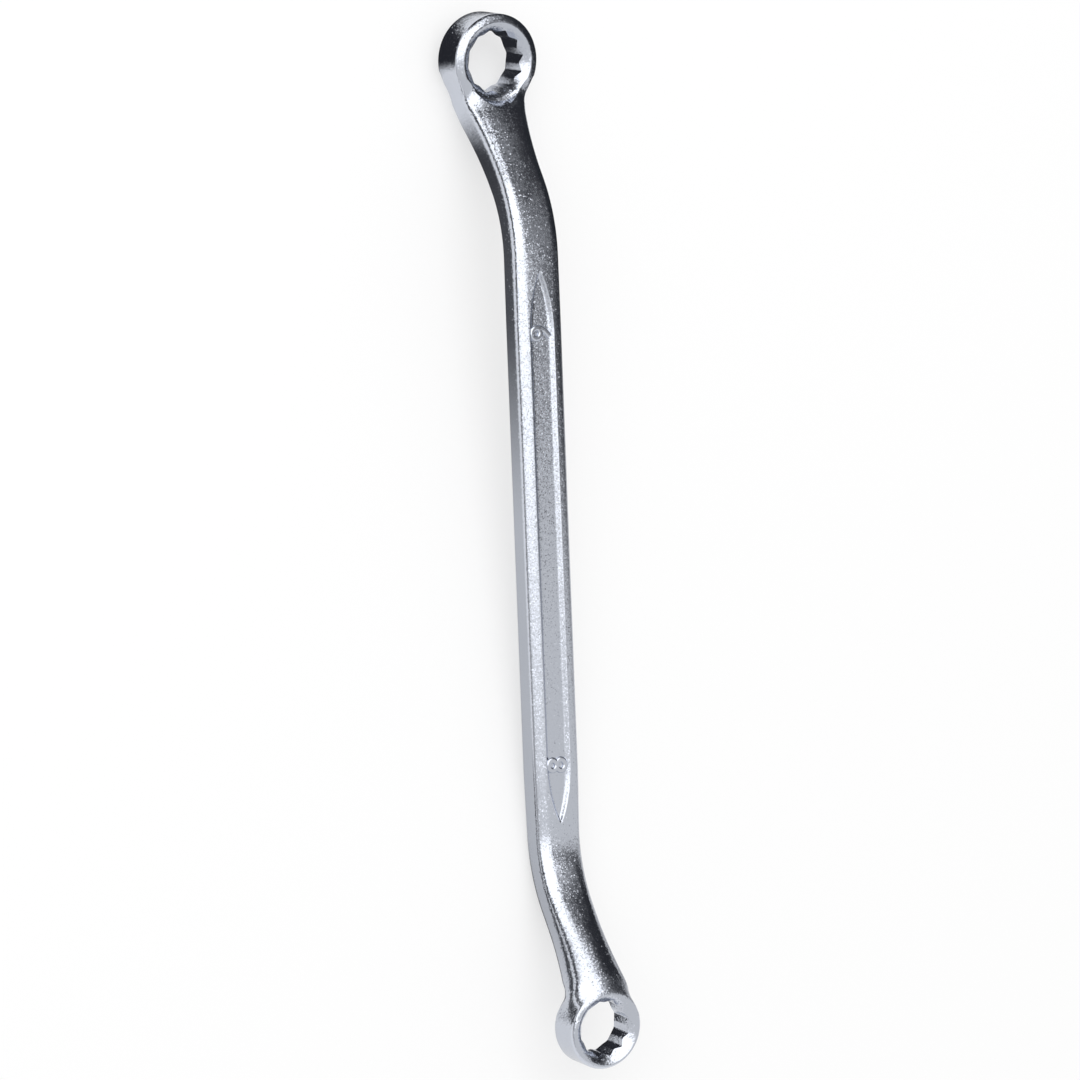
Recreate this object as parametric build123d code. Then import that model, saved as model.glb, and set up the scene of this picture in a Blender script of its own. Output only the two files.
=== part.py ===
from build123d import *
import os
from dataclasses import dataclass
from math import asin, atan2, cos, degrees, hypot, radians, sin, sqrt, tan

# Double-ended ring spanner, 8 mm and 9 mm across flats, one forging.
# It is modelled with the shank along X, the 9 mm ring at -X cranked down and the 8 mm ring at +X
# cranked up. Then it is laid on the bench the way it rests.

# Ring openings, twelve points each
flats_9 = 9.0
flats_8 = 8.0
corner_relief = 0.08
crest_relief = 0.04
opening_turn_9 = 11
opening_turn_8 = 15

# Ring bodies
ring_diameter_9 = 15.2
ring_diameter_8 = 12.9
ring_thickness_9 = 6.5
ring_thickness_8 = 5.9
ring_wall_9 = 5.2
ring_wall_8 = 4.6
rim_diameter_9 = 12.4
rim_diameter_8 = 11.5
rim_land = 0.2
shoulder_knee_shares = (0.55, 0.27)
lead_in_depth = 1.2
lead_in_flare_angle = 35

# Shank
shank_width = 8.66
shank_side_height = 2.9
shank_crown = 1.04
shank_taper_length = 10.0

# Cranks, from the shank's middle out to each ring's centre
reach_9 = 76.45
reach_8 = 75.9
offset_9 = 10.75
offset_8 = 10.95
crank_angle = 30.5
head_tilt = 7
shank_bend_radius = 23.0
ring_bend_radius_9 = 11.5
ring_bend_radius_8 = 7.0
ring_straight = 2.0

# Necks and the flares that widen them into the rings
neck_width_9 = 8.0
neck_width_8 = 7.7
flare_radius_9 = 29.0
flare_radius_8 = 27.0
flare_inset = 0.1
neck_root = 2.4
inner_crown = 0.15
outer_crown = 1.25
side_blend_share = 0.6

# Recessed panels in the two broad faces of the shank
panel_length = 87.2
panel_width = 4.4
panel_tip_length = 10.0
panel_depth = 0.5
panel_wall_angle = 45

# Where the forging is divided, as distances back from each ring's centre
ring_end_length_9 = 12.0
ring_end_length_8 = 11.0

# Sections along each neck, and a margin for the cuts
neck_sections = 10
overrun = 2.0


@dataclass
class RingEnd:
    """One ring with its crank and neck. It points outward along X, by -1 or +1."""

    outward: int
    flats: float
    turn: float
    diameter: float
    thickness: float
    wall: float
    rim: float
    reach: float
    offset: float
    bend: float
    neck: float
    flare: float
    length: float


end_9 = RingEnd(
    outward=-1,
    flats=flats_9,
    turn=opening_turn_9,
    diameter=ring_diameter_9,
    thickness=ring_thickness_9,
    wall=ring_wall_9,
    rim=rim_diameter_9,
    reach=reach_9,
    offset=offset_9,
    bend=ring_bend_radius_9,
    neck=neck_width_9,
    flare=flare_radius_9,
    length=ring_end_length_9,
)
end_8 = RingEnd(
    outward=1,
    flats=flats_8,
    turn=opening_turn_8,
    diameter=ring_diameter_8,
    thickness=ring_thickness_8,
    wall=ring_wall_8,
    rim=rim_diameter_8,
    reach=reach_8,
    offset=offset_8,
    bend=ring_bend_radius_8,
    neck=neck_width_8,
    flare=flare_radius_8,
    length=ring_end_length_8,
)


class Crank:
    """The bar's middle line at one end: straight shank, bend, straight neck, bend back, ring.

    A place on it is (forward, aside): forward from the shank's middle towards the ring, and aside
    towards the side that the ring is cranked to. A distance is counted back from the ring's centre.
    """

    def __init__(self, end):
        self.end = end
        self.slope = radians(crank_angle)
        self.tilt = radians(head_tilt)
        self.shank_bend_length = shank_bend_radius * self.slope
        self.ring_bend_length = end.bend * (self.slope + self.tilt)
        shank_bend_aside = shank_bend_radius * (1 - cos(self.slope))
        ring_bend_aside = end.bend * (cos(self.tilt) - cos(self.slope))
        neck_aside = end.offset - shank_bend_aside - ring_bend_aside + ring_straight * sin(self.tilt)
        self.neck_length = neck_aside / sin(self.slope)
        shank_bend_forward = shank_bend_radius * sin(self.slope)
        ring_bend_forward = end.bend * (sin(self.slope) + sin(self.tilt))
        neck_forward = self.neck_length * cos(self.slope)
        ring_forward = ring_straight * cos(self.tilt)
        self.shank_length = end.reach - shank_bend_forward - neck_forward - ring_bend_forward - ring_forward
        self.neck_start = ring_straight + self.ring_bend_length
        self.bend_start = self.neck_start + self.neck_length
        self.shank_start = self.bend_start + self.shank_bend_length
        self.length = self.shank_start + self.shank_length

    def at(self, distance):
        """Forward, aside and heading of the middle line at a distance from the ring's centre."""
        run = self.length - distance
        part = min(run, self.shank_length)
        forward, aside, heading = part, 0, 0
        run -= part
        if run > 0:
            part = min(run, self.shank_bend_length)
            heading = part / shank_bend_radius
            forward += shank_bend_radius * sin(heading)
            aside += shank_bend_radius * (1 - cos(heading))
            run -= part
        if run > 0:
            part = min(run, self.neck_length)
            forward += part * cos(self.slope)
            aside += part * sin(self.slope)
            run -= part
        if run > 0:
            part = min(run, self.ring_bend_length)
            heading = self.slope - part / self.end.bend
            forward += self.end.bend * (sin(self.slope) - sin(heading))
            aside += self.end.bend * (cos(heading) - cos(self.slope))
            run -= part
        if run > 0:
            forward += run * cos(self.tilt)
            aside -= run * sin(self.tilt)
        return forward, aside, heading

    def plane(self, distance):
        """The plane across the bar, its x along +Y, its y aside and its normal outwards."""
        forward, aside, heading = self.at(distance)
        out = self.end.outward
        normal = (out * cos(heading), 0, out * sin(heading))
        return Plane(origin=(out * forward, 0, out * aside), x_dir=(0, 1, 0), z_dir=normal)

    def ring_plane(self):
        """The ring's middle plane. Both rings lean to +X, so the shank rises clear of the nut."""
        out = self.end.outward
        centre = (out * self.end.reach, 0, out * self.end.offset)
        return Plane(origin=centre, x_dir=(0, 1, 0), z_dir=(sin(self.tilt), 0, cos(self.tilt)))


def ease(value):
    """Goes smoothly from 0 to 1 as the value does."""
    held = min(max(value, 0), 1)
    return held * held * (3 - 2 * held)


def half_width(crank, distance):
    """Half the bar's width: the ring's circle, the flare's hollow arc, then the neck."""
    end = crank.end
    body = end.diameter / 2 - flare_inset
    flare_y = end.neck / 2 + end.flare
    flare_x = sqrt((body + end.flare) ** 2 - flare_y**2)
    touch = flare_x * body / (body + end.flare)
    if distance < touch:
        return sqrt(body**2 - distance**2)
    if distance < flare_x:
        return flare_y - sqrt(end.flare**2 - (flare_x - distance) ** 2)
    return end.neck / 2


def section(plane, half, side, crown_aside, crown_inside):
    """A cross-section with two flat ground sides and two crowned faces."""
    top = side / 2
    with BuildSketch(plane) as sketch:
        with BuildLine():
            Line((half, -top), (half, top))
            ThreePointArc((half, top), (0, top + crown_aside), (-half, top))
            Line((-half, top), (-half, -top))
            ThreePointArc((-half, -top), (0, -top - crown_inside), (half, -top))
        make_face()
    return sketch.sketch


def arm_section(crank, distance):
    """The bar's section at a distance from the ring's centre."""
    end = crank.end
    blend_length = (crank.shank_start - end.diameter / 2) * side_blend_share
    blend = ease((distance - end.diameter / 2) / blend_length)
    side = end.wall + (shank_side_height - end.wall) * blend
    aside = outer_crown + (shank_crown - outer_crown) * blend
    inside = inner_crown + (shank_crown - inner_crown) * blend
    return section(crank.plane(distance), half_width(crank, distance), side, aside, inside)


def arm(crank):
    """One neck with its flare, lofted from inside the ring to just inside the shank."""
    step = (crank.shank_start - neck_root) / neck_sections
    stations = [neck_root + step * count for count in range(neck_sections + 2)]
    return loft([arm_section(crank, distance) for distance in stations])


def shoulder(end):
    """The ring's upper outline from the rim down to the ground wall, as (radius, height)."""
    rim, body, face, wall = end.rim / 2 + rim_land, end.diameter / 2, end.thickness / 2, end.wall / 2
    knee_out, knee_down = shoulder_knee_shares
    knee = (rim + (body - rim) * knee_out, face - (face - wall) * knee_down)
    return [(rim, face), knee, (body, wall)]


def ring_blank(crank):
    """The ring without its opening: a ground wall and a two-step shoulder up to each rim."""
    upper = shoulder(crank.end)
    lower = [(radius, -height) for radius, height in upper[::-1]]
    face = crank.end.thickness / 2
    with BuildPart() as blank:
        with BuildSketch(Plane.XZ):
            with BuildLine():
                Polyline((0, face), *upper, *lower, (0, -face), close=True)
            make_face()
        revolve(axis=Axis.Z)
    return crank.ring_plane().location * blank.part


def opening(crank):
    """The twelve-point opening with a conical lead-in at both faces."""
    end = crank.end
    rim, face, low = end.rim / 2, end.thickness / 2, end.thickness / 2 - lead_in_depth
    crest = end.flats / 2 / cos(radians(15)) + crest_relief
    corner = end.flats / 2 / cos(radians(30)) - corner_relief
    height = end.thickness
    with BuildPart() as cutter:
        with BuildSketch():
            for turn in (end.turn, end.turn + 30):
                RegularPolygon(end.flats / 2, 6, major_radius=False, rotation=turn)
            Circle(crest)
            Circle(corner, mode=Mode.INTERSECT)
        extrude(amount=height, both=True)
        for side in (1, -1):
            mouth = (rim + height * tan(radians(lead_in_flare_angle)), side * (face + height))
            cone = [(0, side * low), (crest, side * low), (rim, side * face), mouth, (0, mouth[1])]
            with BuildSketch(Plane.XZ):
                with BuildLine():
                    Polyline(*cone, close=True)
                make_face()
            revolve(axis=Axis.Z)
    return crank.ring_plane().location * cutter.part


def panel_cutter(face_height):
    """The recess in one broad face: straight sides, long pointed tips and sloping walls."""
    half, straight = panel_width / 2, panel_length / 2 - panel_tip_length
    tip_radius = (panel_tip_length**2 + half**2) / (2 * half)
    with BuildSketch(Plane.XY.offset(face_height)) as outline:
        with BuildLine():
            Line((-straight, half), (straight, half))
            RadiusArc((straight, half), (panel_length / 2, 0), tip_radius)
            RadiusArc((panel_length / 2, 0), (straight, -half), tip_radius)
            Line((straight, -half), (-straight, -half))
            RadiusArc((-straight, -half), (-panel_length / 2, 0), tip_radius)
            RadiusArc((-panel_length / 2, 0), (-straight, half), tip_radius)
        make_face()
    down = extrude(outline.sketch, amount=-panel_depth, taper=panel_wall_angle)
    return down + extrude(outline.sketch, amount=overrun)


def shank_section(plane, width):
    """The shank's section at one width."""
    return section(plane, width / 2, shank_side_height, shank_crown, shank_crown)


def shank_taper(crank):
    """One end of the shank, where it narrows evenly to the neck."""
    narrow = shank_section(crank.plane(crank.shank_start), crank.end.neck)
    wide = shank_section(crank.plane(crank.shank_start + shank_taper_length), shank_width)
    return loft([narrow, wide], ruled=True)


def shank(crank_9, crank_8):
    """The straight middle of the bar, with a recessed panel in each broad face."""
    half = shank_width / 2
    length = crank_9.shank_length + crank_8.shank_length - 2 * shank_taper_length
    start = crank_8.plane(crank_8.shank_start + shank_taper_length)
    middle = extrude(shank_section(start, shank_width), amount=-length)
    bar = middle + shank_taper(crank_9) + shank_taper(crank_8)
    crown_radius = (half**2 + shank_crown**2) / (2 * shank_crown)
    edge_drop = crown_radius - sqrt(crown_radius**2 - (panel_width / 2) ** 2)
    upper = panel_cutter(shank_side_height / 2 + shank_crown - edge_drop)
    lower = mirror(upper, about=Plane.XY)
    return bar - upper - lower


def ring_end_and_neck(crank):
    """One crank, divided into its ring end and its neck."""
    body = arm(crank) + ring_blank(crank) - opening(crank)
    divide = crank.plane(crank.end.length)
    ring_end = split(body, bisect_by=divide, keep=Keep.TOP)
    rest = split(body, bisect_by=divide, keep=Keep.BOTTOM)
    neck = split(rest, bisect_by=crank.plane(crank.shank_start), keep=Keep.TOP)
    return ring_end, neck


def rest_angle(crank_9, crank_8):
    """The tilt at rest: the bench touches the 9 mm ring's rim and the outside of the far bend.

    The bend is an arc, so the bench line is its tangent through the lowest point of the rim.
    """
    end = crank_9.end
    bend_outside = shank_bend_radius + shank_side_height / 2 + shank_crown
    angles = []
    for radius, height in shoulder(end):
        point_x = -end.reach + radius * cos(crank_9.tilt) - height * sin(crank_9.tilt)
        point_z = -end.offset - radius * sin(crank_9.tilt) - height * cos(crank_9.tilt)
        run, rise = crank_8.shank_length - point_x, shank_bend_radius - point_z
        angles.append(degrees(atan2(rise, run) - asin(bend_outside / hypot(run, rise))))
    return max(angles)


def main():
    """Builds the regions, lays them on the bench and writes one file for each."""
    crank_9, crank_8 = Crank(end_9), Crank(end_8)
    ring_end_9, neck_9 = ring_end_and_neck(crank_9)
    ring_end_8, neck_8 = ring_end_and_neck(crank_8)
    regions = {
        "ring_end_9": ring_end_9,
        "neck_9": neck_9,
        "shank": shank(crank_9, crank_8),
        "neck_8": neck_8,
        "ring_end_8": ring_end_8,
    }
    angle = rest_angle(crank_9, crank_8)
    tilted = {name: Rot(0, angle, 0) * region for name, region in regions.items()}
    box = Compound(children=[part.solid() for part in tilted.values()]).bounding_box()
    lift = Pos(-box.center().X, 0, -box.min.Z)
    print("rest angle", round(angle, 3), "size", box.size, "lift", lift.position)
    os.makedirs("parts", exist_ok=True)
    for name, region in tilted.items():
        export_step(lift * region, f"parts/{name}.step")


main()
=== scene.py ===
# %% [markdown]
# # A double-ended ring spanner, 8 x 9 mm
#
# The real spanner is one steel forging: a slim shank with a recessed panel in each broad face,
# two cranked necks, and a closed ring with a twelve-point opening at each end. Its sides are
# ground flat, the rest keeps the fine grain of the forging die, and all of it is chrome plated.
#
# Chrome shows nothing but reflections, so the mesh has to be smooth and its edges have to be
# gently rounded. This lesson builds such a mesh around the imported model, in the same place.

from math import cos, pi, radians, sin, sqrt, tan
from types import SimpleNamespace

import bmesh
import bpy
from mathutils import Matrix, Vector
from mathutils.bvhtree import BVHTree
from mathutils.kdtree import KDTree


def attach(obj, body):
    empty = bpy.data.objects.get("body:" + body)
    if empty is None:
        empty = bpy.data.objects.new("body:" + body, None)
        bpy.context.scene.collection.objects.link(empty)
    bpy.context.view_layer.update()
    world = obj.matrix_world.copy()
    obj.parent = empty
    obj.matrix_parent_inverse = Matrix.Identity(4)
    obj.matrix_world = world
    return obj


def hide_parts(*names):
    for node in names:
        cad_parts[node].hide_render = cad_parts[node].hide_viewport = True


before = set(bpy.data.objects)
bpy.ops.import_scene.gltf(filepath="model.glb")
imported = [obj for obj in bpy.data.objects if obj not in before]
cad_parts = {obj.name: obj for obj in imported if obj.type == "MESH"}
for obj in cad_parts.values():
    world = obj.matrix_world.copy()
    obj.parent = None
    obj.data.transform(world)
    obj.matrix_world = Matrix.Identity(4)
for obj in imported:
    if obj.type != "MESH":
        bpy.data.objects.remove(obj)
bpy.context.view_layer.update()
print("packed nodes", sorted(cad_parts))

# %% [markdown]
# ## Sizes
#
# Lengths are in millimetres, as on a drawing, and the finished mesh is scaled to metres at the
# end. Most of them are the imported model's own. A few follow the photo more closely: the necks are
# a little wider, the shank a little slimmer, the side edges are rounder, and the panel sits 0.9 mm
# nearer to the 8 mm ring. Each ring has its own set, as a 9 mm ring is larger than an 8 mm one.

# %% Name the sizes
ring_9 = SimpleNamespace(
    outward=-1, flats=9.0, turn=11, diameter=15.2, thickness=6.5, wall=5.2, rim=12.4,
    reach=76.45, offset=10.75, bend=11.5, neck=8.4, flare=60.0, edge=(1.4, 1.6), inner=0.3,
)
ring_8 = SimpleNamespace(
    outward=1, flats=8.0, turn=15, diameter=12.9, thickness=5.9, wall=4.6, rim=11.5,
    reach=75.9, offset=10.95, bend=7.0, neck=8.2, flare=60.0, edge=(2.0, 2.4), inner=0.15,
)
shank_width, side_height, crown_height = 8.5, 2.9, 1.04
shank_taper_length = 10.0
crank_slope, head_tilt = radians(30.5), radians(7)
shank_bend, ring_straight = 23.0, 2.0
outer_crown, side_blend_share = 1.25, 0.6
flare_inset, neck_root = 0.1, 2.4
full_side_from, full_side_run = 3.5, 5
panel_half_length, panel_half_width, panel_tip, panel_depth = 43.6, 2.2, 10.0, 0.5
panel_middle, panel_point, neck_panel_share = 0.9, 0.8, 0.7
tip_half_width, tip_widening, tip_run, tip_depth_run = 0.15, 1.39, 6, 0.4
full_side, shank_edge, fine_round = 4.5, (1.35, 1.9), 0.05
rest_turn, rest_lift = radians(5.954), Vector((0.857, 0, 7.364))
print("ring centres are", ring_9.reach + ring_8.reach, "mm apart along the shank")

# %% [markdown]
# ## The middle line
#
# A cranked bar is easiest to describe by the line through its middle. From each ring's centre it
# runs straight, bends, runs down the neck, bends back and becomes the shank. A distance counted
# back from the ring's centre gives a place on that line and its heading.


# %% Follow the middle line
def crank_lengths(ring):
    """The neck's length and the straight shank's length at one end."""
    ring_drop = ring.bend * (cos(head_tilt) - cos(crank_slope))
    drop = ring.offset - shank_bend * (1 - cos(crank_slope)) - ring_drop + ring_straight * sin(head_tilt)
    neck = drop / sin(crank_slope)
    bends = (shank_bend + ring.bend) * sin(crank_slope) + ring.bend * sin(head_tilt)
    return neck, ring.reach - bends - neck * cos(crank_slope) - ring_straight * cos(head_tilt)


def middle_line(ring, distance):
    """Place (x, z) and heading at a distance back from the ring's centre."""
    neck, straight = crank_lengths(ring)
    run = ring_straight + ring.bend * (crank_slope + head_tilt) + neck + shank_bend * crank_slope
    run += straight - distance
    part = min(run, straight)
    x, z, heading = part, 0, 0
    run -= part
    if run > 0:
        part = min(run, shank_bend * crank_slope)
        heading = part / shank_bend
        x, z = x + shank_bend * sin(heading), z + shank_bend * (1 - cos(heading))
        run -= part
    if run > 0:
        part = min(run, neck)
        x, z = x + part * cos(crank_slope), z + part * sin(crank_slope)
        run -= part
    if run > 0:
        part = min(run, ring.bend * (crank_slope + head_tilt))
        heading = crank_slope - part / ring.bend
        x += ring.bend * (sin(crank_slope) - sin(heading))
        z += ring.bend * (cos(heading) - cos(crank_slope))
        run -= part
    if run > 0:
        x, z = x + run * cos(head_tilt), z - run * sin(head_tilt)
    return ring.outward * x, ring.outward * z, heading


def shank_start(ring):
    """How far from the ring's centre the straight shank begins."""
    neck, _ = crank_lengths(ring)
    return ring_straight + ring.bend * (crank_slope + head_tilt) + neck + shank_bend * crank_slope


for ring in (ring_9, ring_8):
    print("shank starts", round(shank_start(ring), 2), "mm from the ring's centre")

# %% [markdown]
# ## The bar's sections
#
# Cut across, the bar has two flat ground sides and two crowned faces. Close to a ring it flares
# until its outline runs into the ring's circle. Each section is a closed row of points, and each
# row has the same number of them, so that the rows join into one smooth skin. Points crowd where
# an edge is rounded, and each carries the finish of the strip that starts there.


# %% Draw one section
def ease(value):
    """Goes smoothly from 0 to 1 as the value does."""
    held = min(max(value, 0), 1)
    return held * held * (3 - 2 * held)


def half_width(ring, distance):
    """Half the bar's width: the ring's circle, the flare's hollow arc, then the neck."""
    body = ring.diameter / 2 - flare_inset
    flare_y = ring.neck / 2 + ring.flare
    flare_x = sqrt((body + ring.flare) ** 2 - flare_y**2)
    if distance < flare_x * body / (body + ring.flare):
        return sqrt(body**2 - distance**2)
    if distance < flare_x:
        return flare_y - sqrt(ring.flare**2 - (flare_x - distance) ** 2)
    return ring.neck / 2


def crown(y, half, rise):
    """Height of a crowned face above the section's side edges."""
    radius = (half**2 + rise**2) / (2 * rise)
    return sqrt(radius**2 - y**2) - (radius - rise)


FORGED, GROUND, LEAD_IN, BORE, SHOULDER = range(5)
margin_steps, wall_steps, floor_steps, corner_steps, side_steps = 7, 3, 5, 9, 6
slope_probe = 0.01


def quarter(half, side, rise, panel, depth, edge):
    """From the end of the flat side, round the edge and over the crown to the middle."""
    points = []

    def top(y):
        return side / 2 + crown(y, half, rise)

    low, high = Vector((half, side / 2 - edge[0])), Vector((half - edge[1], top(half - edge[1])))
    slope = (top(high.x - slope_probe) - top(high.x + slope_probe)) / (2 * slope_probe)
    corner = Vector((half, high.y - slope * edge[1]))
    for step in range(corner_steps + 1):
        t = step / corner_steps
        points.append(low * (1 - t) ** 2 + corner * 2 * t * (1 - t) + high * t**2)
    soft, foot = min(fine_round, panel / 8), max(panel - max(depth, panel / 4), panel / 4)
    floor = side / 2 + crown(min(panel_half_width, half), half, rise) - panel_depth
    drop = (top(panel) - floor) * depth / panel_depth
    for step in range(1, margin_steps + 1):
        y = high.x + (panel + soft - high.x) * step / margin_steps
        points.append(Vector((y, top(y))))
    for step in range(wall_steps + 1):
        y = panel - soft + (foot + 2 * soft - panel) * step / wall_steps
        points.append(Vector((y, top(panel) - drop * (panel - y) / (panel - foot) if depth else top(y))))
    for step in range(floor_steps + 1):
        y = (foot - soft) * (1 - step / floor_steps)
        points.append(Vector((y, top(panel) - drop if depth else top(y))))
    return points


def section(half, side, rise_up, rise_down, panel, depth, edge):
    """The closed row of points, anticlockwise from the foot of the right side."""
    up, down = (quarter(half, side, rise, panel, depth, edge) for rise in (rise_up, rise_down))
    low, high = -side / 2 + edge[0], side / 2 - edge[0]
    flat = [Vector((half, low + (high - low) * step / side_steps)) for step in range(side_steps)]
    over = up + [Vector((-p.x, p.y)) for p in reversed(up[:-1])]
    under = down + [Vector((-p.x, p.y)) for p in reversed(down[:-1])]
    back = [Vector((-p.x, -p.y)) for p in flat[1:]]
    return flat + over + back + [Vector((-p.x, -p.y)) for p in under[:-1]]


trial = section(shank_width / 2, full_side, crown_height, crown_height, panel_half_width, panel_depth, shank_edge)
print("points in a section", len(trial))

# %% [markdown]
# ## The stations
#
# The rows stand along the middle line like ribs. They are close together in the bends and at the
# panel's pointed tips, where the shape changes, and far apart where the shank is plain.


# %% List the stations
def edge_at(ring, distance):
    """How far the edge's rounding reaches down the side and over the crown."""
    share = ease((distance - ring.diameter) / (shank_start(ring) + shank_taper_length - ring.diameter))
    return [own + (plain - own) * share for own, plain in zip(ring.edge, shank_edge)]


def neck_station(ring, distance):
    """One row of the neck, with its place, heading and points."""
    x, z, heading = middle_line(ring, distance)
    blend = ease((distance - ring.diameter / 2) / ((shank_start(ring) - ring.diameter / 2) * side_blend_share))
    side = ring.wall + (side_height - ring.wall) * blend
    full = full_side + (ring.wall - full_side) * (1 - ease((distance - full_side_from) / full_side_run))
    aside = outer_crown + (crown_height - outer_crown) * blend + (side - full) / 2
    inside = ring.inner + (crown_height - ring.inner) * blend + (side - full) / 2
    up, down = (inside, aside) if ring.outward < 0 else (aside, inside)
    half, edge = half_width(ring, distance), edge_at(ring, distance)
    return x, z, heading, section(half, full, up, down, panel_half_width * neck_panel_share, 0, edge)


def shank_station(x):
    """One row of the shank: its taper, and the panel's width and depth there."""
    ring = ring_8 if x > 0 else ring_9
    start = crank_lengths(ring)[1]
    share = min(max((start - abs(x)) / shank_taper_length, 0), 1)
    half = (ring.neck + (shank_width - ring.neck) * share) / 2
    rise, edge = crown_height - (full_side - side_height) / 2, edge_at(ring, shank_start(ring) + start - abs(x))
    inward = panel_half_length - abs(x - panel_middle)
    if inward <= 0:
        beyond = tip_half_width + tip_widening * ease(-inward / tip_run)
        return x, 0, 0, section(half, full_side, rise, rise, beyond, 0, edge)
    out = max(panel_tip - inward, 0) / panel_tip
    panel = max(panel_half_width * (1 - out**2) ** panel_point, tip_half_width)
    depth = panel_depth * min((panel - tip_half_width) / tip_depth_run, 1)
    return x, 0, 0, section(half, full_side, rise, rise, panel, depth, edge)


def spread(first, last, step):
    """Evenly spaced values from first up to, but not with, last."""
    count = max(round(abs(last - first) / step), 1)
    return [first + (last - first) * n / count for n in range(count)]


tip_step, plain_step, neck_step, tip_margin = 0.25, 2.5, 0.4, 0.5
start, end = -crank_lengths(ring_9)[1], crank_lengths(ring_8)[1]
plain = panel_half_length - panel_tip - tip_margin
first, last = panel_middle - plain, panel_middle + plain
along = spread(start, first, tip_step) + spread(first, last, plain_step) + spread(last, end, tip_step) + [end]
stations = [neck_station(ring_9, d) for d in spread(neck_root, shank_start(ring_9), neck_step)]
stations += [shank_station(x) for x in along]
stations += [neck_station(ring_8, d) for d in spread(neck_root, shank_start(ring_8), neck_step)][::-1]
print("stations", len(stations), "points in each", len(stations[0][3]))

# %% [markdown]
# ## Rolling a grid into a skin
#
# A flat grid with one row for each station has the right faces already. Its points are moved to
# their places, the first column is welded to the last, and a face closes each end. The bar and
# the cutters for the openings are both made like this.


# %% Roll a grid
weld_distance, fine_weld = 1e-4, 1e-5


def rolled_grid(name, rows, finish):
    """A closed skin through rows of points. finish(row, column) picks each face's finish."""
    bm = bmesh.new()
    wide, long = len(rows[0]), len(rows)
    bmesh.ops.create_grid(bm, x_segments=wide, y_segments=long - 1, size=1)
    bm.verts.ensure_lookup_table()
    bm.faces.ensure_lookup_table()
    for row, points in enumerate(rows):
        for column in range(wide + 1):
            bm.verts[row * (wide + 1) + column].co = points[column % wide]
    for number, face in enumerate(bm.faces):
        face.material_index = finish(number // wide, number % wide)
    bmesh.ops.remove_doubles(bm, verts=bm.verts[:], dist=fine_weld)
    rim = [e for e in bm.edges if e.is_boundary]
    bmesh.ops.holes_fill(bm, edges=rim, sides=0)
    bmesh.ops.recalc_face_normals(bm, faces=bm.faces[:])
    piece = bpy.data.objects.new(name, bpy.data.meshes.new(name))
    bpy.context.scene.collection.objects.link(piece)
    bm.to_mesh(piece.data)
    print(name, len(bm.faces), "faces, open edges", sum(e.is_boundary for e in bm.edges))
    bm.free()
    return piece


def placed(station):
    """The station's points in space."""
    x, z, heading, points = station
    return [Vector((x - p.y * sin(heading), p.x, z + p.y * cos(heading))) for p in points]


half_row = len(stations[0][3]) // 2
first_wall = side_steps + corner_steps + margin_steps
middle_column = half_row // 2 + side_steps // 2


def bar_finish(row, column):
    """Ground on the two flat sides, smooth on the panel's walls, forged elsewhere."""
    x, _, heading, _ = stations[row]
    place = column % half_row
    if place < side_steps:
        return GROUND
    outer = min(place, 2 * middle_column - 1 - place)
    in_wall = first_wall <= outer < first_wall + wall_steps + 2
    return LEAD_IN if in_wall and not heading and abs(x - panel_middle) < panel_half_length else FORGED


bar = rolled_grid("bar", [placed(s) for s in stations], bar_finish)

# %% [markdown]
# ## The rings
#
# A ring is turned round its own axis, so its outline is drawn once and spun. From the flat rim it
# rolls over a soft shoulder to the ground wall, and the other face mirrors it. It is spun without
# its opening, because the bar has to run into solid metal first.


# %% Spin the ring blanks
flat_shares = (0, 0.5, 0.8, 0.92)
rim_margin, shoulder_pull, shoulder_rows = 0.2, (0.75, 0.45), 10
wall_round, wall_round_depth, round_rows, wall_rows = 0.06, 0.15, 3, 6
spin_steps, spin_offset, wall_margin = 192, radians(0.7), 0.1


def ring_matrix(ring):
    """Places a ring drawn round Z. Both rings lean towards +X by the head's tilt."""
    place = Matrix.Translation((ring.outward * ring.reach, 0, ring.outward * ring.offset))
    return place @ Matrix.Rotation(head_tilt, 4, "Y")


def curve_point(a, control, b, t):
    """A point of the soft curve that leaves a and reaches b, drawn towards its control point."""
    return a * (1 - t) ** 2 + control * 2 * t * (1 - t) + b * t**2


def ring_outline(ring):
    """Half the blank's outline as (radius, height), from the axis out to the middle of the wall."""
    rim, body = Vector((ring.rim / 2 + rim_margin, ring.thickness / 2)), Vector((ring.diameter / 2, ring.wall / 2))
    pull = rim + Vector(((body.x - rim.x) * shoulder_pull[0], (body.y - rim.y) * shoulder_pull[1]))
    foot, low = body - Vector((wall_round, -wall_round)), body - Vector((0, wall_round_depth))
    shoulder = [curve_point(rim, pull, foot, n / shoulder_rows) for n in range(shoulder_rows + 1)]
    corner = [curve_point(foot, body, low, n / round_rows) for n in range(1, round_rows + 1)]
    flat = [Vector((rim.x * share, rim.y)) for share in flat_shares]
    wall = [Vector((body.x, corner[-1].y * (1 - n / wall_rows))) for n in range(1, wall_rows + 1)]
    return flat + shoulder + corner + wall


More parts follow.
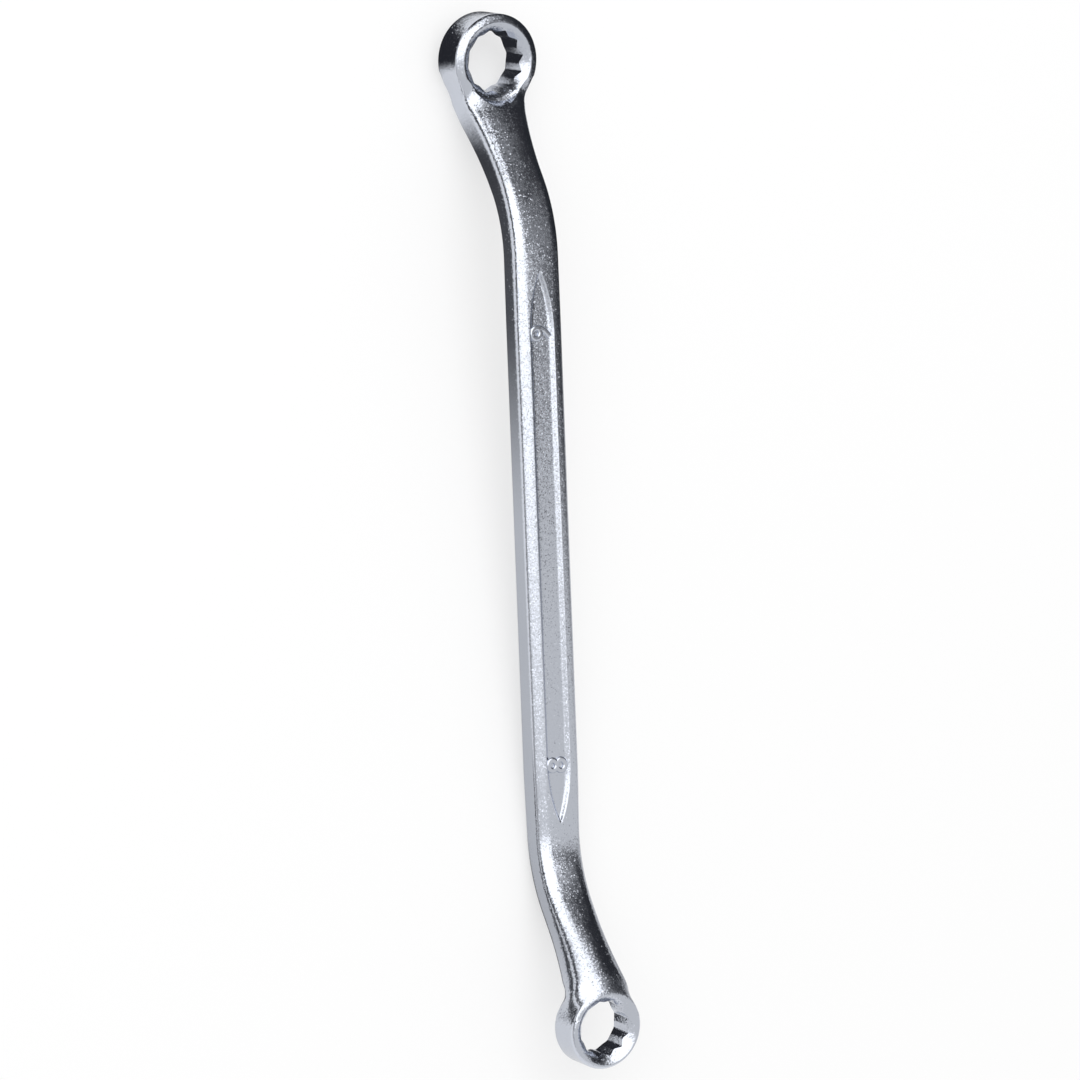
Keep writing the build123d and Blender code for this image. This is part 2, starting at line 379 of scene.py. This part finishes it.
def ring_blank(ring):
    """The ring's outline spun a full turn."""
    bm = bmesh.new()
    half = ring_outline(ring)
    outline = half + [Vector((p.x, -p.y)) for p in half[-2::-1]]
    verts = [bm.verts.new((p.x, 0, p.y)) for p in outline]
    edges = [bm.edges.new(pair) for pair in zip(verts, verts[1:])]
    bmesh.ops.spin(
        bm, geom=verts + edges, cent=(0, 0, 0), axis=(0, 0, 1), angle=2 * pi, steps=spin_steps, use_merge=True
    )
    bmesh.ops.remove_doubles(bm, verts=bm.verts[:], dist=weld_distance)
    bmesh.ops.dissolve_degenerate(bm, edges=bm.edges[:], dist=fine_weld)
    bmesh.ops.recalc_face_normals(bm, faces=bm.faces[:])
    wall = ring.wall / 2 - wall_margin
    for face in bm.faces:
        middle = face.calc_center_median()
        face.material_index = GROUND if abs(middle.z) < wall and middle.xy.length > ring.rim / 2 else SHOULDER
    bm.transform(ring_matrix(ring) @ Matrix.Rotation(spin_offset, 4, "Z"))
    name = "ring_blank_" + format(ring.flats, ".0f")
    piece = bpy.data.objects.new(name, bpy.data.meshes.new(name))
    bpy.context.scene.collection.objects.link(piece)
    bm.to_mesh(piece.data)
    print(name, len(bm.faces), "faces, open edges", sum(e.is_boundary for e in bm.edges))
    bm.free()
    return piece


blanks = [ring_blank(ring_9), ring_blank(ring_8)]

# %% [markdown]
# ## Joining bar and rings
#
# A Boolean join leaves a hard crease where the two skins meet. A forging has none, because the
# hot steel flows round every inner corner of the die. So the points near the crease are found
# by their distance from both skins, and smoothed until the bar flows into the ring.


# %% Join and blend
blend_reach, blend_rounds, blend_share, touching = 1.9, 32, 0.5, 1e-3


def combine(piece, tool, operation):
    """Joins or cuts a piece with a tool, which is used up."""
    cut = piece.modifiers.new("cut", "BOOLEAN")
    cut.operation, cut.solver, cut.object = operation, "EXACT", tool
    view = bpy.context.evaluated_depsgraph_get()
    made = bpy.data.meshes.new_from_object(piece.evaluated_get(view))
    piece.modifiers.clear()
    piece.data = made
    bpy.data.objects.remove(tool)


def skin_tree(piece):
    """A search tree over a piece's faces."""
    bm = bmesh.new()
    bm.from_mesh(piece.data)
    tree = BVHTree.FromBMesh(bm)
    bm.free()
    return tree


def blend_crease(piece, skins):
    """Smooths the piece near the line where two skins meet."""
    bm = bmesh.new()
    bm.from_mesh(piece.data)
    crease = [v for v in bm.verts if all((skin.find_nearest(v.co)[3] or 0) < touching for skin in skins)]
    tree = KDTree(len(crease))
    for number, vert in enumerate(crease):
        tree.insert(vert.co, number)
    tree.balance()
    near = [v for v in bm.verts if tree.find(v.co)[2] < blend_reach]
    bmesh.ops.triangulate(bm, faces=list({f for v in near for f in v.link_faces}))
    for _ in range(blend_rounds):
        bmesh.ops.smooth_vert(
            bm, verts=near, factor=blend_share, use_axis_x=True, use_axis_y=True, use_axis_z=True
        )
    bmesh.ops.recalc_face_normals(bm, faces=bm.faces[:])
    print("crease points", len(crease), "smoothed", len(near), "open", sum(e.is_boundary for e in bm.edges))
    bm.to_mesh(piece.data)
    bm.free()


for blank in blanks:
    skins = [skin_tree(bar), skin_tree(blank)]
    combine(bar, blank, "UNION")
    blend_crease(bar, skins)

# %% [markdown]
# ## The openings
#
# Two hexagons, one turned by half a corner, make the twelve points. A rounded lead-in at each
# face guides the nut in, and where it meets the points it leaves the scalloped line that marks a
# ring spanner. The cutter is one more rolled grid: around it go the angles, and down it go the
# mouth, the lead-in and the points.


# %% Cut the openings
point_steps, point_softness, softness_steps = 20, radians(2), 4
crest_clearance, lead_in_depth, lead_in_pull, lead_in_rows = 0.04, 1.2, (0.62, 0.18), 8
mouth_height, mouth_lean, mouth_lip, least_lead_in = 3, radians(35), Vector((0.07, 0.02)), 0.02
search_rounds = 30


def opening_radius(ring, turn):
    """Distance from the axis to the twelve-point wall, averaged a little to round its corners."""
    total = 0
    for step in range(-softness_steps, softness_steps + 1):
        near = turn + point_softness * step / softness_steps
        off_corner = abs((near + pi / 12) % (pi / 6) - pi / 12)
        total += ring.flats / 2 / cos(pi / 6 - off_corner)
    return total / (2 * softness_steps + 1)


def opening_cutter(ring):
    """The space that the nut goes through, with flared mouths that clear the bar's crown."""
    face, rim, crest = ring.thickness / 2, ring.rim / 2, ring.flats / 2 / cos(pi / 12) + crest_clearance
    top, low = Vector((rim, face)), Vector((crest, face - lead_in_depth))
    pull = Vector((crest + (rim - crest) * lead_in_pull[0], face - lead_in_pull[1]))
    count = 12 * point_steps
    rows, angles = [], [radians(ring.turn) + 2 * pi * n / count for n in range(count)]

    def lead_in(radius):
        """How far down the lead-in curve its radius shrinks to this one."""
        low_t, high_t = 0, 1
        for _ in range(search_rounds):
            t = (low_t + high_t) / 2
            low_t, high_t = (t, high_t) if curve_point(top, pull, low, t).x > radius else (low_t, t)
        return t

    reach = [lead_in(opening_radius(ring, a - radians(ring.turn))) for a in angles]
    mouth = Vector((rim + mouth_height * tan(mouth_lean), face + mouth_height))
    rows.append([mouth] * len(angles))
    rows.append([top + mouth_lip] * len(angles))
    for step in range(lead_in_rows):
        down = [max(end * step / (lead_in_rows - 1), least_lead_in) for end in reach]
        rows.append([curve_point(top, pull, low, t) for t in down])
    rows += [[Vector((p.x, -p.y)) for p in row] for row in reversed(rows)]
    around = [[Vector((p.x * cos(a), p.x * sin(a), p.y)) for p, a in zip(row, angles)] for row in rows]
    middle = len(rows) // 2 - 1
    cutter = rolled_grid("opening", around, lambda row, column: BORE if row == middle else LEAD_IN)
    cutter.data.transform(ring_matrix(ring))
    return cutter


for ring in (ring_9, ring_8):
    combine(bar, opening_cutter(ring), "DIFFERENCE")
print("forging", len(bar.data.polygons), "faces")

# %% [markdown]
# ## Into the model's place
#
# The mesh was drawn level. The spanner rests on its 9 mm ring and on the outside of the far bend,
# so it is turned by a few degrees, lifted onto the ground and scaled to metres. That is done in
# the mesh, and the object itself stays at the origin. Edges sharper than thirty degrees stay
# crisp, and weighted normals keep the broad faces true beside the narrow rounded edges.

# %% Place the forging
to_row = Matrix.Scale(0.001, 4) @ Matrix.Translation(rest_lift) @ Matrix.Rotation(rest_turn, 4, "Y")


def finish_mesh(piece, sharp=30):
    """Places the mesh, shades it smooth and keeps its sharp edges."""
    piece.data.transform(to_row)
    piece.data.polygons.foreach_set("use_smooth", [True] * len(piece.data.polygons))
    piece.data.set_sharp_from_angle(angle=radians(sharp))
    weighted = piece.modifiers.new("true faces", "WEIGHTED_NORMAL")
    weighted.keep_sharp = True


bar.name = bar.data.name = "spanner_forging"
finish_mesh(bar)
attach(bar, "root")
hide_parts("ring_end_9", "neck_9", "shank", "neck_8", "ring_end_8")

# %% [markdown]
# ## Chrome
#
# Chrome is a metal with a light, slightly blue base colour. What tells its finishes apart is how
# rough they are and how much grain they have. The forged skin keeps the fine pitting of the die
# under its plating: thousands of tiny facets, each tilted its own way, that sparkle in the shade.
# Cells of a Voronoi texture stand for the facets, and each cell's random colour tilts its normal.
# Most facets tilt little and a few tilt far, so the sparkles are sparse, and the grain is finer in
# the middle of the shank. The ground sides are smooth, and the cut openings are polished.

# %% Make the finishes
chrome_colour = (0.615, 0.645, 0.715, 1)
grain_along = [(-0.03, 1), (0.005, 0.6), (0.04, 0.6), (0.054, 0.95)]
sparkle, cloud_scale, wave_height = 2, 400, 0.0001


def fade(nodes, links, along, stops):
    """A value that changes along one axis, through stops of (place in metres, value)."""
    low, high = stops[0][0], stops[-1][0]
    share, ramp = nodes.new("ShaderNodeMapRange"), nodes.new("ShaderNodeValToRGB")
    share.inputs["From Min"].default_value, share.inputs["From Max"].default_value = low, high
    ramp.color_ramp.interpolation = "EASE"
    marks = ramp.color_ramp.elements
    while len(marks) < len(stops):
        marks.new(0.5)
    for mark, (place, value) in zip(marks, stops):
        mark.position, mark.color = (place - low) / (high - low), (value, value, value, 1)
    links.new(along, share.inputs["Value"])
    links.new(share.outputs["Result"], ramp.inputs["Fac"])
    return ramp.outputs["Color"]


def facets(nodes, links, place, size, tilt):
    """A normal that is tilted at random in every cell, cells being size metres across."""
    cells, shape = nodes.new("ShaderNodeTexVoronoi"), nodes.new("ShaderNodeNewGeometry")
    cells.inputs["Scale"].default_value = 1 / size
    centred, tilted, summed = (nodes.new("ShaderNodeVectorMath") for _ in range(3))
    centred.operation, tilted.operation, summed.operation = "SUBTRACT", "SCALE", "ADD"
    centred.inputs[1].default_value = (0.5, 0.5, 0.5)
    split, coarse = nodes.new("ShaderNodeSeparateXYZ"), nodes.new("ShaderNodeMath")
    coarse.operation = "MULTIPLY"
    coarse.inputs[1].default_value = tilt
    lot, sparse, share = (nodes.new("ShaderNode" + kind) for kind in ("TexWhiteNoise", "Math", "Math"))
    sparse.operation, share.operation = "POWER", "MULTIPLY"
    sparse.inputs[1].default_value = sparkle
    links.new(cells.outputs["Position"], lot.inputs["Vector"])
    links.new(lot.outputs["Value"], sparse.inputs[0])
    links.new(sparse.outputs[0], share.inputs[0])
    links.new(coarse.outputs[0], share.inputs[1])
    links.new(place.outputs["Object"], split.inputs[0])
    links.new(fade(nodes, links, split.outputs["X"], grain_along), coarse.inputs[0])
    links.new(share.outputs[0], tilted.inputs["Scale"])
    links.new(place.outputs["Object"], cells.inputs["Vector"])
    links.new(cells.outputs["Color"], centred.inputs[0])
    links.new(centred.outputs[0], tilted.inputs[0])
    links.new(tilted.outputs[0], summed.inputs[0])
    links.new(shape.outputs["Normal"], summed.inputs[1])
    return summed.outputs[0]


def chrome(name, roughness, patches, waves, wave_size, tilt=0.0, facet_size=0.0002):
    """One chrome finish: its gloss, how much the gloss varies, its waves and its facets."""
    material = bpy.data.materials.new(name)
    material.use_nodes = True
    nodes, links = material.node_tree.nodes, material.node_tree.links
    shader = nodes["Principled BSDF"]
    shader.inputs["Base Color"].default_value = chrome_colour
    shader.inputs["Metallic"].default_value = 1
    place = nodes.new("ShaderNodeTexCoord")
    cloud, spread = nodes.new("ShaderNodeTexNoise"), nodes.new("ShaderNodeMapRange")
    cloud.inputs["Scale"].default_value = cloud_scale
    spread.inputs["To Min"].default_value = roughness - patches
    spread.inputs["To Max"].default_value = roughness + patches
    links.new(place.outputs["Object"], cloud.inputs["Vector"])
    links.new(cloud.outputs["Fac"], spread.inputs["Value"])
    links.new(spread.outputs["Result"], shader.inputs["Roughness"])
    ripple, bump = nodes.new("ShaderNodeTexNoise"), nodes.new("ShaderNodeBump")
    ripple.inputs["Scale"].default_value = 1 / wave_size
    bump.inputs["Strength"].default_value = waves
    bump.inputs["Distance"].default_value = wave_height
    links.new(place.outputs["Object"], ripple.inputs["Vector"])
    links.new(ripple.outputs["Fac"], bump.inputs["Height"])
    links.new(bump.outputs["Normal"], shader.inputs["Normal"])
    if tilt:
        links.new(facets(nodes, links, place, facet_size, tilt), bump.inputs["Normal"])
    print(name, "roughness", roughness, "facets tilted", tilt)
    return material


finishes = [
    chrome(
        "forged_chrome", roughness=0.16, patches=0.04, waves=0.15, wave_size=0.0006, tilt=0.38, facet_size=0.00015
    ),
    chrome("ground_chrome", roughness=0.1, patches=0.03, waves=0.03, wave_size=0.0006, tilt=0.03),
    chrome("lead_in_chrome", roughness=0.12, patches=0.04, waves=0.05, wave_size=0.0005, tilt=0.08),
    chrome("bore_chrome", roughness=0.04, patches=0.02, waves=0.03, wave_size=0.0008),
    chrome("shoulder_chrome", roughness=0.1, patches=0.03, waves=0.05, wave_size=0.0006, tilt=0.09),
]
bar.data.materials.clear()
for material in finishes:
    bar.data.materials.append(material)

# %% [markdown]
# ## The size marks
#
# The opening sizes stand up from the floor of the panel, each beside its own ring, in plain
# figures that read along the shank. A text object gives the figures their outline, and a small
# bevel gives them the soft shoulders of a forging die. They become meshes before they are placed.


# %% Raise the size marks
mark_size, mark_height, mark_bevel, mark_inset, mark_aside, mark_sharp = 5.1, 0.06, 0.3, -0.08, 0.1, 50
mark_places = {"9": -33.0, "8": 35.3}


def size_mark(figure, x):
    """One raised figure on the upper panel, its top towards the -Y side."""
    curve = bpy.data.curves.new("size_mark_" + figure, "FONT")
    curve.body, curve.size = figure, mark_size
    curve.align_x, curve.align_y = "CENTER", "CENTER"
    curve.extrude, curve.bevel_depth, curve.bevel_resolution, curve.offset = mark_height, mark_bevel, 4, mark_inset
    text = bpy.data.objects.new(curve.name, curve)
    bpy.context.scene.collection.objects.link(text)
    view = bpy.context.evaluated_depsgraph_get()
    mesh = bpy.data.meshes.new_from_object(text.evaluated_get(view))
    bpy.data.objects.remove(text)
    piece = bpy.data.objects.new("size_mark_" + figure, mesh)
    bpy.context.scene.collection.objects.link(piece)
    rise = crown_height - (full_side - side_height) / 2
    floor = full_side / 2 + crown(panel_half_width, shank_width / 2, rise) - panel_depth
    mesh.transform(Matrix.Translation((x, mark_aside, floor)) @ Matrix.Rotation(pi, 4, "Z"))
    mesh.materials.clear()
    mesh.materials.append(finishes[SHOULDER])
    finish_mesh(piece, mark_sharp)
    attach(piece, "root")
    print(piece.name, len(mesh.polygons), "faces")


for figure, x in mark_places.items():
    size_mark(figure, x)

# %% [markdown]
# ## Floor and lights
#
# Chrome is photographed in a white tent. The spanner lies on white paper, part of whose look is a
# plain glow, so that it stays white and still keeps the soft shadow. Overhead hangs one wide soft
# box that reaches far to the left, so that the crowned faces run from white to grey.


# %% Lay the floor and hang the lights
floor_half, paper_tone, paper_glow = 3, (0.95, 0.95, 0.95, 1), 0.6
world_tone, world_strength = (1, 1, 1, 1), 0.74


def plain_sheet(name, corners, material):
    """A flat four-cornered sheet that belongs to the studio and not to the spanner."""
    bm = bmesh.new()
    bm.faces.new([bm.verts.new(c) for c in corners])
    sheet = bpy.data.objects.new(name, bpy.data.meshes.new(name))
    bm.to_mesh(sheet.data)
    bm.free()
    bpy.context.scene.collection.objects.link(sheet)
    sheet.data.materials.append(material)
    return sheet


def white_paper(glow):
    """White paper. What the camera and the metal see of it is partly a plain white glow."""
    material = bpy.data.materials.new("white_paper")
    material.use_nodes = True
    nodes, links = material.node_tree.nodes, material.node_tree.links
    shader = nodes["Principled BSDF"]
    shader.inputs["Base Color"].default_value = paper_tone
    shader.inputs["Roughness"].default_value = 1
    shader.inputs["Specular IOR Level"].default_value = 0
    rays, either, any_of, share = (nodes.new("ShaderNode" + k) for k in ("LightPath", "Math", "Math", "Math"))
    either.operation, any_of.operation, share.operation = "MAXIMUM", "MAXIMUM", "MULTIPLY"
    links.new(rays.outputs["Is Camera Ray"], either.inputs[0])
    links.new(rays.outputs["Is Glossy Ray"], either.inputs[1])
    links.new(either.outputs[0], any_of.inputs[0])
    links.new(rays.outputs["Is Transmission Ray"], any_of.inputs[1])
    links.new(any_of.outputs[0], share.inputs[0])
    share.inputs[1].default_value = glow
    white, mix = nodes.new("ShaderNodeEmission"), nodes.new("ShaderNodeMixShader")
    links.new(share.outputs[0], mix.inputs[0])
    links.new(shader.outputs[0], mix.inputs[1])
    links.new(white.outputs[0], mix.inputs[2])
    links.new(mix.outputs[0], nodes["Material Output"].inputs["Surface"])
    return material


floor_corners = [(x * floor_half, y * floor_half, 0) for x, y in ((-1, -1), (1, -1), (1, 1), (-1, 1))]
plain_sheet("floor", floor_corners, white_paper(paper_glow))

world = bpy.data.worlds.new("studio")
bpy.context.scene.world = world
world.use_nodes = True
world.node_tree.nodes["Background"].inputs["Color"].default_value = world_tone
world.node_tree.nodes["Background"].inputs["Strength"].default_value = world_strength


def soft_box(name, centre, size, strength):
    """A level soft box, its glow given as the brightness that the metal reflects."""
    lamp = bpy.data.lights.new(name, "AREA")
    lamp.shape, lamp.size, lamp.size_y = "RECTANGLE", size[0], size[1]
    lamp.energy = strength * pi * size[0] * size[1]
    box = bpy.data.objects.new(name, lamp)
    bpy.context.scene.collection.objects.link(box)
    box.location = centre
    box.visible_camera = False
    print(name, "power", round(lamp.energy, 2), "W")


soft_box("overhead_box", centre=(-0.64, -0.73, 1.0), size=(1.52, 2.24), strength=1.0)

# %% [markdown]
# ## Painted reflections: dark sheets and bright edges
#
# Dark sheets paint dark reflections into the metal to give it its shape, as the dark cards that
# photographers hold beside bright metal would. Far ones darken whole faces, and small ones close to a
# ring or a neck darken just that end. Some stand up, and some lie on the paper, where they paint the
# paper's shade beside and under the spanner into its reflections. Two glowing sheets beside the soft
# box are painted highlights that soften its edges. All of them work on reflections alone: they cast
# no shadow and light nothing. Each sheet is flat across one axis, and how strong it is along the
# other two is told by stops of (place in metres, strength).


# %% Hold up the painted reflections
# Dark tone for the painted dark reflections and painted shade, bright tone for the painted highlights.
painted_dark_reflection_tone, painted_highlight_tone = (0.027, 0.028, 0.033, 1), (1.5, 1.5, 1.5, 1)


def painted_reflection_sheet(name, across, place, tone, fades):
    """A painted reflection: a sheet that only reflections see, flat at one place across an axis, fading along the
    others.
    """
    material = bpy.data.materials.new(name)
    material.use_nodes = True
    nodes, links = material.node_tree.nodes, material.node_tree.links
    nodes.remove(nodes["Principled BSDF"])
    spot, split = nodes.new("ShaderNodeTexCoord"), nodes.new("ShaderNodeSeparateXYZ")
    links.new(spot.outputs["Object"], split.inputs[0])
    both = nodes.new("ShaderNodeMath")
    both.operation = "MULTIPLY"
    axes = [axis for axis in "XYZ" if axis != across]
    for number, (axis, stops) in enumerate(zip(axes, fades)):
        links.new(fade(nodes, links, split.outputs[axis], stops), both.inputs[number])
    clear, glow, mix = (nodes.new("ShaderNode" + kind) for kind in ("BsdfTransparent", "Emission", "MixShader"))
    glow.inputs["Color"].default_value = tone
    links.new(both.outputs[0], mix.inputs[0])
    links.new(clear.outputs[0], mix.inputs[1])
    links.new(glow.outputs[0], mix.inputs[2])
    links.new(mix.outputs[0], nodes["Material Output"].inputs["Surface"])
    corners = []
    for first, second in ((0, 0), (-1, 0), (-1, -1), (0, -1)):
        ends = {axes[0]: fades[0][first][0], axes[1]: fades[1][second][0]}
        corners.append([ends.get(axis, place) for axis in "XYZ"])
    sheet = plain_sheet(name, corners, material)
    sheet.visible_camera = sheet.visible_diffuse = sheet.visible_shadow = sheet.visible_transmission = False
    print(name, "from", corners[0], "to", corners[2])


# The standing dark sheets are painted dark reflections.
sheets = [
    (
        "near_card", "Y", 0.25, painted_dark_reflection_tone,
        [(-0.27, 0), (-0.23, 1), (-0.045, 1), (-0.035, 0)],
        [(0, 1), (0.18, 1), (0.27, 0.88), (0.38, 0.45), (0.6, 0)],
    ),
    (
        "shank_card", "Y", 0.25, painted_dark_reflection_tone,
        [(-0.065, 0), (-0.045, 1), (-0.015, 1), (0.075, 0)],
        [(0, 1), (0.3, 1), (0.42, 0.75), (0.6, 0.3), (0.98, 0)],
    ),
    (
        "neck_card", "Y", 0.03, painted_dark_reflection_tone,
        [(-0.16, 0), (-0.145, 1), (-0.052, 1), (-0.044, 0)],
        [(0.045, 0), (0.065, 0.55), (0.082, 0.7), (0.1, 0.55), (0.13, 0.25), (0.155, 0)],
    ),
    (
        "far_card", "Y", 0.26, painted_dark_reflection_tone,
        [(-1.12, 0), (-0.4, 1), (-0.23, 1), (-0.19, 0)],
        [(0, 1), (0.18, 1), (0.27, 0.8), (0.38, 0.42), (0.6, 0)],
    ),
    (
        "end_card", "X", -0.25, painted_dark_reflection_tone,
        [(0.02, 0), (0.04, 0.8), (0.15, 0.8), (0.18, 0)],
        [(0, 1), (0.11, 1), (0.16, 0)],
    ),
    # Lying on the paper: painted shade of the paper beside the spanner and under the raised 8 mm ring, seen only
    # in its reflections.
    (
        "lying_card", "Z", 0.0002, painted_dark_reflection_tone,
        [
            (-0.0892, 0), (-0.0862, 1), (-0.0766, 1), (-0.0737, 0.05), (-0.068, 0.05), (-0.061, 0.96),
            (-0.038, 0.92), (0, 0.3), (0.04, 0.3), (0.06, 0.35), (0.075, 0.1), (0.09, 0.1),
        ],
        [(-0.022, 0), (-0.015, 1), (0.004, 1), (0.01, 0)],
    ),
    (
        "under_card", "Z", 0.0003, painted_dark_reflection_tone,
        [(0.045, 0), (0.055, 1), (0.0765, 1), (0.0782, 0)],
        [(-0.005, 0), (-0.003, 1), (0.008, 1), (0.012, 0)],
    ),
    # Lying on the paper on the far side: a painted dark reflection.
    (
        "right_card", "Z", 0.0004, painted_dark_reflection_tone,
        [(-0.4, 1), (-0.045, 1), (0, 0.35), (0.04, 0.35), (0.062, 0.6), (0.08, 0)],
        [(0.012, 0), (0.025, 1), (0.25, 1)],
    ),
    (
        "front_card", "Y", -0.6, painted_dark_reflection_tone,
        [(-0.8, 0), (-0.67, 0.95), (-0.02, 0.95), (0.02, 0.4), (0.4, 0.3), (0.8, 0)],
        [(0.01, 0), (0.04, 1), (0.22, 1), (0.34, 0)],
    ),
    (
        "ring_card", "X", -0.13, painted_dark_reflection_tone,
        [(0, 0), (0.008, 0.9), (0.05, 0.9), (0.06, 0)],
        [(0, 1), (0.05, 1), (0.07, 0)],
    ),
    (
        "top_card", "X", -0.105, painted_dark_reflection_tone,
        [(-0.04, 0), (-0.01, 1), (0.002, 1), (0.006, 0)],
        [(0.01, 0), (0.018, 1), (0.046, 1), (0.054, 0)],
    ),
    (
        "arc_card", "Y", 0.05, painted_dark_reflection_tone,
        [(-0.122, 0), (-0.114, 1), (-0.106, 1), (-0.098, 0)],
        [(0.05, 0), (0.068, 1), (0.088, 1), (0.1, 0)],
    ),
    # Lying on the paper beside the 8 mm end: painted shade, seen only in reflections.
    (
        "side_card", "Z", 0.0005, painted_dark_reflection_tone,
        [(0.03, 0), (0.045, 0.95), (0.069, 0.95), (0.075, 0)],
        [(-0.05, 0), (-0.03, 1), (-0.016, 1), (-0.0125, 0)],
    ),
    # Glowing sheets at the soft box's edges: painted highlights, seen only in reflections.
    ("box_edge", "Z", 0.999, painted_highlight_tone, [(0.12, 1), (0.28, 0)], [(-1.85, 1), (0.39, 1)]),
    ("far_edge", "Z", 0.999, painted_highlight_tone, [(-1.4, 1), (-0.25, 1), (-0.1, 0)], [(0.39, 1), (0.65, 0)]),
]
for name, across, place, tone, *fades in sheets:
    painted_reflection_sheet(name, across, place, tone, fades)

# %% [markdown]
# ## Camera
#
# The camera was fitted to the photo with the corners of both openings and the outline. It looks
# down at a slant from nearly 0.9 m away, with the 9 mm ring at the top of the picture.

# %% Set up the camera
focal_pixels, picture_pixels, sensor_width = 5600.38, 1080, 36
camera_place, camera_turn = Vector((32.381, -470.688, 756.324)), (5.40664, -31.77927, 83.68405)
camera = bpy.data.objects.new("camera", bpy.data.cameras.new("camera"))
bpy.context.scene.collection.objects.link(camera)
camera.data.sensor_width = sensor_width
camera.data.lens = focal_pixels / picture_pixels * sensor_width
camera.location = camera_place / 1000
camera.rotation_euler = [radians(angle) for angle in camera_turn]
camera.data.clip_start, camera.data.clip_end = 0.05, 10
bpy.context.scene.camera = camera

# %% [markdown]
# ## The last step
#
# It sets the colour view to Standard.

# %% Finish
bpy.context.scene.view_settings.view_transform = "Standard"
